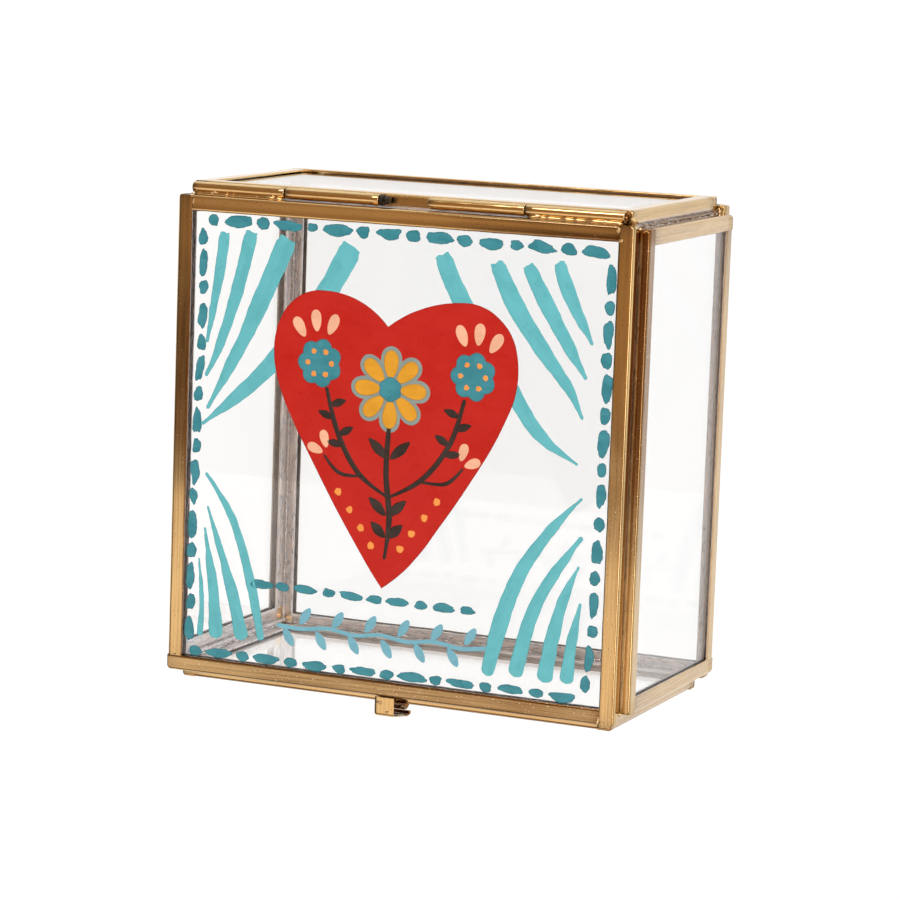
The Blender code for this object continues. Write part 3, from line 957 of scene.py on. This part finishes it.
def make_hinge_solder(solder, brass):
    """Where the tubes are tacked: the outer ones to the lid's rear edge, the inner ones to the rear wall."""
    low, high = box_mm("hinge_knuckle_lid_left")
    middle = (low + high) / 2
    lid_edge = box_mm("lid_channel_rear")[1].y
    draft = Draft()
    for number, x in enumerate((low.x + 4.8, high.x - 3.0, -low.x - 3.5, -high.x + 2.5)):
        add_lump(draft, (x, lid_edge + 0.42, middle.z + 0.86), (1.5, 0.36, 0.28), 80 + number, rough=0.45)
        tail = (x + 1.3, lid_edge + 0.34, middle.z + 0.74)
        add_lump(draft, tail, (0.8, 0.26, 0.22), 90 + number, rough=0.45)
    add_lump(draft, (-low.x + 1.65, middle.y - 0.55, middle.z + 0.1), (0.8, 0.7, 0.95), 99, rough=0.3)
    draft.piece("solder_hinge_lid", solder, "lid")
    draft = Draft()
    seam = Vector((0, lid_edge + 0.22, middle.z + 0.78))
    for sign in (-1, 1):
        ends = (seam + X_AXIS * sign * (-low.x - 0.3), seam + X_AXIS * sign * (-high.x + 0.3))
        add_bead(draft, *ends, 0.46, 95 + sign, 0.16)
    draft.piece("solder_hinge_seams", brass, "lid")
    low, high = box_mm("hinge_knuckle_box_left")
    rim = box_mm("rear_channel_top")[1].z
    draft = Draft()
    for number, x in enumerate((low.x + 3.0, high.x - 3.0, -low.x - 3.0, -high.x + 3.0)):
        add_lump(draft, (x, middle.y + 0.62, rim + 0.22), (1.6, 0.42, 0.30), 110 + number, rough=0.4)
    draft.piece("solder_hinge_box", solder, "box")


# Paint


def paint_origin():
    """The point of the lid's outer glass face over the box's middle."""
    front, rear = wall_faces()[1:]
    return Vector((0, (front + rear) / 2, box_mm("lid_glass")[1].z + PAINT_GAP))


PAINT_ORIGIN = paint_origin()


def on_glass(x, y, height):
    return PAINT_ORIGIN + Vector((x, y, height))


def turned(place, along, across, angle):
    """The point this far along and across a way that leaves place at this angle."""
    cosine = math.cos(angle)
    sine = math.sin(angle)
    return place[0] + along * cosine - across * sine, place[1] + along * sine + across * cosine


def bezier(start, first, second, end, steps):
    """Points of a cubic curve after its start."""
    result = []
    for i in range(1, steps + 1):
        t = i / steps
        weights = ((1 - t) ** 3, 3 * t * (1 - t) ** 2, 3 * t**2 * (1 - t), t**3)
        corners = (start, first, second, end)
        result.append(tuple(sum(w * c[k] for w, c in zip(weights, corners)) for k in (0, 1)))
    return result


def flowing(points, step=0.5):
    """A smooth line through a few points, with a point at about each step."""
    line = [points[0]]
    for i in range(len(points) - 1):
        before = points[max(i - 1, 0)]
        start = points[i]
        end = points[i + 1]
        after = points[min(i + 2, len(points) - 1)]
        first = tuple(start[k] + (end[k] - before[k]) / 6 for k in (0, 1))
        second = tuple(end[k] - (after[k] - start[k]) / 6 for k in (0, 1))
        line += bezier(start, first, second, end, max(3, round(math.dist(start, end) / step)))
    return line


def add_film(draft, outline, centre, layer, seed):
    """A skin of paint over an outline that can be seen whole from its centre, anticlockwise."""
    base, thick = layer
    middle = Vector(centre)
    under = [on_glass(x, y, base) for x, y in outline]
    rings = [draft.ring(under, [(x, y, seed) for x, y in outline], [1.0] * len(outline))]
    rows = [(inset, 1.0, height, tone) for inset, height, tone in zip(RIM_INSETS, RIM_HEIGHTS, RIM_TONES)]
    rows += [(RIM_INSETS[-1], 0.6, 0.9, 0.0), (RIM_INSETS[-1], 0.25, 0.9, 0.0)]
    for inset, share, height, tone in rows:
        places = []
        for x, y in outline:
            away = Vector((x, y)) - middle
            keep = max(0.35, 1 - inset / max(away.length, 0.01)) * share
            places.append(middle + away * keep)
        points = [on_glass(place.x, place.y, base + thick * height) for place in places]
        rings.append(draft.ring(points, [(place.x, place.y, seed) for place in places], [tone] * len(points)))
    for before, after in zip(rings, rings[1:]):
        draft.bridge(before, after)
    draft.fan(rings[-1], on_glass(middle.x, middle.y, base + thick * 0.9), (middle.x, middle.y, seed), 0.0)
    draft.faces.append(tuple(reversed(rings[0])))


def round_end(distance, breadth):
    """How much of its breadth a stroke has at this distance from an end that is rounded."""
    near = min(distance / max(0.42 * breadth, 0.1), 1.0)
    return math.sqrt(max(0.004, near * (2 - near)))


def add_brush(draft, path, breadths, layer, seed, wobble, ragged=0.0):
    """A brush stroke along a path, with its breadths at equal steps of the way.

    A stroke with ragged above 0 starts blunt, and its hairs reach up to about that far apart.
    """
    base, thick = layer
    width = running(*breadths)
    line = [Vector(point) for point in path]
    total = sum((after - before).length for before, after in zip(line, line[1:]))
    rings = []
    travelled = 0.0
    for number, point in enumerate(line):
        if number:
            travelled += (point - line[number - 1]).length
        ahead = (line[min(number + 1, len(line) - 1)] - line[max(number - 1, 0)]).normalized()
        side = Vector((-ahead.y, ahead.x))
        start = round_end(travelled, width(0.02))
        if ragged:
            start = max(start, BLUNT_START)
        full = start * round_end(total - travelled, width(0.98))
        breadth = width(travelled / total) * full
        near_start = max(0.0, 1 - travelled / 2.0)
        points = []
        for across, height in zip(BRUSH_ACROSS, BRUSH_HEIGHTS):
            bank = 5 if across > 0 else 0
            waver = wander(travelled, seed + 2 + bank, 0.45) + 0.4 * wander(travelled, seed + 3 + bank, 1.7)
            sideways = across * (breadth / 2 + wobble * waver * full)
            hairs = wander(across * 1.3, seed + 12) + 0.5 * wander(across * 4.1, seed + 13)
            place = point + side * sideways + ahead * (ragged * near_start * hairs)
            points.append(on_glass(place.x, place.y, base + thick * height))
        points += [Vector((above.x, above.y, PAINT_ORIGIN.z + base)) for above in reversed(points)]
        places = [across * breadth / 2 for across in BRUSH_ACROSS + BRUSH_ACROSS[::-1]]
        # share of the rim colour, painted shade, along both edges of the stroke
        edge = min(0.2, 0.3 * breadth)
        tones = [smooth_step(1 - (breadth / 2 - abs(place)) / edge) for place in places]
        rings.append(draft.ring(points, [(travelled, place, seed) for place in places], tones))
    draft.flat_loft(rings)


def add_dab(draft, place, length, breadth, angle, layer, seed):
    """A short dash or a dot, like a lens with one end blunter than the other and an uneven outline."""
    outline = []
    bow = 0.25 * breadth * wander(seed, 1.7, 0.37)
    blunt = wander(seed, 2.3, 0.41)
    for turn in turns(DAB_SIDES):
        way = Vector((math.cos(turn), math.sin(turn)))
        power = DAB_POWER + DAB_POWER_SPREAD * (blunt if way.x > 0 else -blunt)
        swell = (abs(way.x) ** power + abs(way.y) ** power) ** (-1 / power)
        swell *= 1 + 0.22 * noise.noise(Vector((way.x * 1.3, way.y * 1.3, seed * 5.3)))
        swell *= 1 + 0.10 * noise.noise(Vector((way.x * 4, way.y * 4, seed * 2.9)))
        across = way.y * swell * breadth / 2 + bow * (way.x**2 - 0.5)
        outline.append(turned(place, way.x * swell * length / 2, across, angle))
    add_film(draft, outline, place, layer, seed)


def add_petal(draft, place, length, breadth, angle, layer, seed, point=0.0):
    """A petal or leaf that starts at place. point draws its far end out to a tip."""
    outline = []
    for turn in turns(PETAL_SIDES):
        along = 0.5 - 0.5 * math.cos(turn)
        swell = math.sin(turn) * (1 - point * smooth_step((along - 0.45) / 0.55))
        swell *= 0.72 + 0.5 * along
        swell *= 1 + 0.06 * wander(turn, seed, 0.9)
        outline.append(turned(place, along * length, swell * breadth / 2, angle))
    outline.reverse()
    add_film(draft, outline, turned(place, 0.55 * length, 0, angle), layer, seed)


def add_scallop(draft, place, radius, lobes, depth, layer, seed):
    """A round flower with a lobed edge."""
    outline = []
    for turn in turns(lobes * LOBE_SIDES):
        swell = 1 - depth * (1 - abs(math.sin(turn * lobes / 2))) + 0.03 * wander(turn, seed, 1.2)
        outline.append(turned(place, radius * swell, 0, turn))
    add_film(draft, outline, place, layer, seed)


def dab_row(draft, corners, first, second, breadth, gap, seed):
    """Dabs of two lengths in turn along a line through the corners."""
    line = flowing(corners, 0.8)
    total = sum(math.dist(before, after) for before, after in zip(line, line[1:]))
    pairs = max(1, round((total + gap) / (first + second + 2 * gap)))
    fit = (total + gap) / (pairs * (first + second + 2 * gap))
    reached = 0.0
    for i in range(2 * pairs):
        length = (second if i % 2 else first) * fit
        place, way = along_line(line, reached + length / 2)
        reached += length + gap * fit
        side = Vector((-way.y, way.x))
        place += way * 0.25 * wander(i, seed, 1.7) + side * 0.30 * wander(i, seed + 1, 1.3)
        length *= 1 + 0.26 * wander(i, seed + 2, 2.1)
        across = breadth * (1 + 0.30 * wander(i, seed + 3, 1.9))
        tilt = math.atan2(way.y, way.x) + 0.22 * wander(i, seed + 4, 2.3)
        add_dab(draft, place, length, across, tilt, GROUND, seed + i)


def along_line(line, distance):
    """The point at this distance along a line, and the way the line runs there."""
    for before, after in zip(line, line[1:]):
        step = math.dist(before, after)
        if distance <= step:
            break
        distance -= step
    way = (Vector(after) - Vector(before)).normalized()
    return Vector(before) + way * distance, way


def make_border(material):
    """The running border of dashes and dots, and the shorter row above the foot of the lid."""
    rows = [
        ([(-42.4, 43.3), (-20.0, 43.4), (44.0, 42.7)], 2.8, 5.9, 2.3, 1.25),
        ([(44.4, 40.5), (44.4, 24.0), (43.9, -16.8), (43.3, -34.6), (42.4, -43.0)], 5.6, 3.0, 2.2, 1.0),
        ([(40.6, -44.4), (10.0, -44.5), (-44.2, -44.8)], 5.9, 2.9, 2.0, 1.1),
        ([(-44.6, -42.8), (-44.3, -22.0), (-44.0, -7.6), (-43.2, 26.5), (-43.4, 41.8)], 5.4, 3.2, 2.0, 1.0),
        ([(-31.0, -29.5), (18.8, -29.9)], 4.8, 3.0, 1.8, 0.9),
    ]
    draft = Draft()
    for number, row in enumerate(rows):
        dab_row(draft, *row, 201 + 30 * number)
    draft.piece("paint_border", material, "lid", crease=PAINT_CREASE)


# The points along each stroke and its breadths, first on the left and then on the right
UPPER_STROKES = [
    ([(-38.6, 41.0), (-39.7, 32.0), (-42.0, 18.6)], (2.4, 2.3, 1.6, 0.7)),
    ([(-32.6, 41.5), (-35.2, 30.6), (-39.2, 18.0), (-42.1, 11.8)], (3.0, 2.8, 2.2, 0.8)),
    ([(-24.4, 40.8), (-29.0, 30.4), (-34.0, 19.4), (-41.6, 5.2)], (4.3, 3.9, 2.7, 0.8)),
    ([(-10.4, 40.3), (-15.6, 30.8), (-25.6, 17.6), (-33.4, 9.6), (-42.8, 1.9)], (4.8, 4.4, 4.0, 3.0, 0.7)),
    ([(9.0, 40.0), (13.4, 31.4), (24.0, 15.6), (31.0, 6.4), (39.2, 1.3)], (3.7, 3.9, 3.8, 2.9, 0.6)),
    ([(20.6, 39.2), (25.0, 31.0), (31.2, 22.6), (36.8, 15.8), (39.8, 10.2)], (3.2, 3.8, 3.4, 2.4, 0.7)),
    ([(27.2, 39.2), (31.4, 31.9), (36.0, 24.6), (40.2, 18.0)], (2.8, 3.3, 2.7, 0.8)),
    ([(33.6, 40.2), (36.3, 33.6), (41.3, 24.8)], (2.6, 3.1, 2.2, 0.7)),
]
LOWER_STROKES = [
    ([(-28.0, -41.0), (-30.7, -29.4), (-35.2, -16.7), (-41.5, -7.8)], (1.6, 2.2, 1.8, 0.8)),
    ([(-32.3, -41.4), (-34.8, -31.9), (-38.0, -22.8), (-40.9, -14.6)], (3.1, 2.6, 1.5, 0.5)),
    ([(-38.2, -41.7), (-39.3, -30.6), (-41.5, -19.0)], (3.2, 2.3, 0.5)),
    ([(-42.0, -41.6), (-41.7, -34.0), (-42.6, -25.4)], (1.4, 1.1, 0.4)),
    ([(21.7, -42.3), (24.3, -31.2), (28.2, -20.8), (34.4, -11.6), (40.4, -5.0)], (2.8, 3.4, 3.0, 2.2, 0.5)),
    ([(27.6, -41.8), (30.3, -30.6), (33.9, -22.5), (40.7, -12.6)], (3.2, 2.9, 2.3, 0.9)),
    ([(33.8, -42.2), (35.3, -33.2), (37.3, -25.4), (40.3, -18.4)], (3.3, 3.0, 2.2, 0.5)),
    ([(38.5, -41.9), (39.4, -33.6), (40.9, -25.6)], (3.0, 2.2, 0.6)),
]


def make_strokes(material):
    """Four fans of tapering strokes that spread from the lid's sides towards its corners."""
    draft = Draft()
    seed = 401
    for strokes, ragged in ((UPPER_STROKES, 0.4), (LOWER_STROKES, 0.0)):
        for points, breadths in strokes:
            add_brush(draft, flowing(points), breadths, GROUND, seed, 0.14, ragged)
            seed += 17
    draft.piece("paint_strokes", material, "lid", crease=PAINT_CREASE)


def make_heart(material):
    """A plain heart with round shoulders and a long point."""
    start = (-2.0, 25.0)
    curves = [
        ((-6.0, 29.4), (-11.2, 31.2), (-16.5, 31.1)),
        ((-22.8, 31.0), (-26.9, 25.3), (-26.8, 18.5)),
        ((-26.7, 11.5), (-22.8, 5.5), (-19.8, 0.3)),
        ((-15.4, -7.4), (-7.4, -20.2), (-1.6, -27.3)),
        ((4.2, -23.6), (8.2, -17.2), (11.8, -11.9)),
        ((16.4, -5.1), (20.2, 0.8), (23.0, 6.7)),
        ((25.2, 11.4), (26.4, 15.0), (26.0, 19.6)),
        ((25.4, 26.8), (20.5, 31.0), (14.4, 30.9)),
        ((8.6, 30.7), (2.6, 28.6), (-2.0, 25.0)),
    ]
    outline = []
    for first, second, end in curves:
        outline += bezier(start, first, second, end, 16)
        start = end
    worked = []
    for i, (x, y) in enumerate(outline):
        away = Vector((x, y - 8))
        swell = 1 + 0.004 * wander(i, 501, 0.16) + 0.002 * wander(i, 502, 0.6)
        worked.append((away.x * swell, away.y * swell + 8))
    draft = Draft()
    add_film(draft, worked, (-1.5, 8.0), HEART, 503)
    draft.piece("paint_heart", material, "lid", crease=PAINT_CREASE)


# Motifs on the heart: a spray of flowers of the builder's own drawing, most of them mirrored
TRUNK_LEAVES = ((-17.0, 4.2), (-12.6, 5.0), (-1.2, 5.6))  # y and length
ARM_LEAVES = ((11.0, 0.6, 8), (13.2, 5.8, 20), (12.0, 2.6, 150), (14.0, 8.4, 160))  # x, y and turn
UPPER_BUDS = ((14.8, 22.4, 112), (17.4, 22.8, 84), (20.0, 21.6, 58))
LOWER_BUDS = ((15.4, -1.2, 20), (14.6, -0.2, 75))
BERRIES = ((3.2, -19.0), (5.6, -15.6), (8.2, -12.2), (10.8, -8.8))
BLOOM = (-1.0, 12.6)
BLOOM_PETALS = 8
ROSETTE = (16.6, 16.6)
ROSETTE_DOTS = 6


def mirrored(sign, turn):
    """A turn in degrees, mirrored left for right where sign is -1, in radians."""
    return math.radians(turn if sign > 0 else 180 - turn)


def add_petals(draft, sign, petals, length, breadth, seed, point=0.0):
    for step, (x, y, turn) in enumerate(petals):
        add_petal(draft, (sign * x, y), length, breadth, mirrored(sign, turn), MOTIF, seed + step, point)


def make_stems(material):
    draft = Draft()
    trunk = [(-1.2, -21.5), (-0.4, -13.0), (-1.4, -4.0), (-1.0, 6.0)]
    add_brush(draft, flowing(trunk), (0.7, 1.3, 1.2, 1.0), MOTIF, 601, 0.05)
    for sign in (-1, 1):
        seed = 610 + 5 * sign
        arm = [(-0.8, -9.0), (sign * 7.0 - 0.5, -4.6), (sign * 12.2, 3.0), (sign * 15.0, 12.0)]
        add_brush(draft, flowing(arm), (0.6, 1.1, 1.1, 0.8), MOTIF, seed, 0.05)
        twig = [(sign * 6.2, -5.2), (sign * 11.6, -5.0), (sign * 15.2, -1.6)]
        add_brush(draft, flowing(twig), (0.5, 0.8, 0.5), MOTIF, seed + 1, 0.04)
        for step, (y, length) in enumerate(TRUNK_LEAVES):
            place = (-0.9 + sign * 0.3, y)
            add_petal(draft, place, length, 2.2, mirrored(sign, 42), MOTIF, seed + 20 + step, 0.5)
        add_petals(draft, sign, ARM_LEAVES, 3.6, 1.7, seed + 30, 0.5)
    draft.piece("paint_stems", material, "lid", crease=PAINT_CREASE)


def make_bloom(edge_material, material):
    edges = Draft()
    petals = Draft()
    for i in range(BLOOM_PETALS):
        turn = math.radians(90 + 360 * i / BLOOM_PETALS)
        foot = turned(BLOOM, 1.4, 0, turn)
        add_petal(edges, foot, 7.2, 4.6, turn, BLOOM_EDGE, 640 + i)
        add_petal(petals, turned(foot, 0.7, 0, turn), 5.7, 3.2, turn, DETAIL, 660 + i)
    edges.piece("paint_bloom_edges", edge_material, "lid", crease=PAINT_CREASE)
    petals.piece("paint_bloom", material, "lid", crease=PAINT_CREASE)


def make_rosettes(material):
    draft = Draft()
    for sign in (-1, 1):
        add_scallop(draft, (sign * ROSETTE[0], ROSETTE[1]), 4.9, 7, 0.16, MOTIF, 680 + sign)
    add_scallop(draft, BLOOM, 2.5, 6, 0.10, BLOOM_EYE, 690)
    draft.piece("paint_rosettes", material, "lid", crease=PAINT_CREASE)


def make_buds(material):
    draft = Draft()
    for sign in (-1, 1):
        add_petals(draft, sign, UPPER_BUDS, 4.4, 2.3, 700 + 9 * sign)
        add_petals(draft, sign, LOWER_BUDS, 3.6, 2.0, 720 + 9 * sign)
    draft.piece("paint_buds", material, "lid", crease=PAINT_CREASE)


def make_dots(material):
    draft = Draft()
    for sign in (-1, 1):
        for i in range(ROSETTE_DOTS):
            turn = math.radians(360 / ROSETTE_DOTS * i)
            place = turned((sign * ROSETTE[0], ROSETTE[1]), 2.6, 0, turn)
            add_dab(draft, place, 1.1, 1.1, 0, DETAIL, 740 + 7 * sign + i)
        for i, (x, y) in enumerate(BERRIES):
            add_dab(draft, (sign * x - 1.0, y), 1.5, 1.5, 0, MOTIF, 760 + 7 * sign + i)
    draft.piece("paint_dots", material, "lid", crease=PAINT_CREASE)


def make_garland(material):
    """A row of slanting leaf dabs over a thin wavy line, below the second dashed row."""
    draft = Draft()
    count = 12
    left = -23.0
    right = 16.8
    for i in range(count):
        up = 1 if i % 2 else -1
        place = (left + (right - left) * (i / (count - 1)), -37.2 + 0.5 * up)
        add_petal(draft, place, 4.2, 2.0, math.radians(58 * up), GROUND, 800 + i, 0.3)
    line = [(left - 1.6, -37.3)]
    for i in range(1, 9):
        line.append((left - 1.6 + (right - left + 6.4) * i / 8, -37.2 + 0.35 * (-1) ** i))
    add_brush(draft, flowing(line), (0.9, 0.8, 0.9), VINE, 830, 0.05)
    draft.piece("paint_garland", material, "lid", crease=PAINT_CREASE)


def make_paint():
    paints = {name: paint_material(f"paint_{name}", *values) for name, values in PAINTS.items()}
    make_border(paints["teal"])
    make_strokes(paints["turquoise"])
    make_heart(paints["red"])
    make_stems(paints["ink"])
    make_bloom(paints["slate"], paints["mustard"])
    make_rosettes(paints["teal"])
    make_buds(paints["peach"])
    make_dots(paints["orange"])
    make_garland(paints["sky"])


# Stage


def make_floor():
    size = 6.0
    mesh = bpy.data.meshes.new("floor")
    corners = [(-size, -size, 0), (size, -size, 0), (size, size, 0), (-size, size, 0)]
    mesh.from_pydata(corners, [], [(0, 1, 2, 3)])
    mesh.materials.append(floor_material())
    floor = add_object("floor", mesh)


def soft_box(name, place, aim, width, height, glow):
    """An area light at place that looks at aim, both in metres. glow is its brightness seen from there."""
    light = bpy.data.lights.new(name, "AREA")
    light.shape = "RECTANGLE"
    light.size = width
    light.size_y = height
    light.energy = glow * width * height * math.pi
    item = add_object(name, light)
    item.location = place
    item.rotation_euler = (Vector(place) - Vector(aim)).to_track_quat("Z", "Y").to_euler()


def around(azimuth, elevation, distance):
    """The place in this direction from the box, in metres."""
    turn = math.radians(azimuth)
    rise = math.radians(elevation)
    level = math.cos(rise) * distance
    return math.cos(turn) * level, math.sin(turn) * level, math.sin(rise) * distance


def make_lights():
    """A panel over the front, whose edge shows in the lid's metal, lights behind and beside it and a key."""
    panel = Vector((-0.35, -0.77, 1.355))
    soft_box("softbox_front", panel, (panel.x, panel.y, 0), 1.9, 1.06, 0.80)
    soft_box("softbox_rear", around(95, 37, 1.5), (0, 0, 0), 0.9, 0.5, 6.0)
    soft_box("softbox_right", around(10, 40, 1.5), (0, 0, 0), 1.5, 0.26, 4.0)
    soft_box("key", (0.50, 0.38, 1.25), (0, 0, 0), 0.5, 0.5, 7.0)


def make_surroundings():
    """A room that is dim and warm overhead, grey lower down and darker on the left."""
    world = bpy.data.worlds.new("studio")
    bpy.context.scene.world = world
    nodes = Nodes(world, "Background")
    direction = nodes.place("Generated")
    leftward = nodes.ranged(nodes.part(direction, "X"), -0.75, -0.25, 1.0, 0.0)
    upward = nodes.ranged(nodes.part(direction, "Z"), 0.05, 0.45)
    overhead = nodes.mix(leftward, (0.48, 0.285, 0.145), (0.14, 0.11, 0.09))
    level = nodes.mix(leftward, (0.75, 0.75, 0.75), (0.20, 0.20, 0.20))
    nodes.link(nodes.mix(upward, level, overhead), "Color")


def make_camera():
    camera = add_object("camera", bpy.data.cameras.new("camera"))
    camera.data.lens = CAMERA_LENS
    camera.data.sensor_width = SENSOR_WIDTH
    place = Vector(CAMERA_PLACE) * MM
    back = (place - Vector(CAMERA_TARGET) * MM).normalized()
    right = Y_AXIS.cross(back).normalized()
    turn = Matrix((right, back.cross(right), back)).transposed().to_4x4()
    roll = Matrix.Rotation(math.radians(CAMERA_ROLL), 4, "Z")
    camera.matrix_world = Matrix.Translation(place) @ turn @ roll
    bpy.context.scene.camera = camera
    bpy.context.scene.view_settings.view_transform = "Standard"


def make_box():
    brass = brass_material()
    solder = solder_material()
    steel = pin_material()
    glass = glass_material()
    for pane in STRIPS:
        recolour(f"{pane}_glass", glass)
    make_strips(brass)
    make_hinge(brass, steel)
    make_clasp(brass, solder)
    make_corner_solder(solder)
    make_base_solder(solder)
    make_rim_solder(solder)
    make_hinge_solder(solder, brass)
    make_paint()


make_box()
make_floor()
make_lights()
make_surroundings()
make_camera()
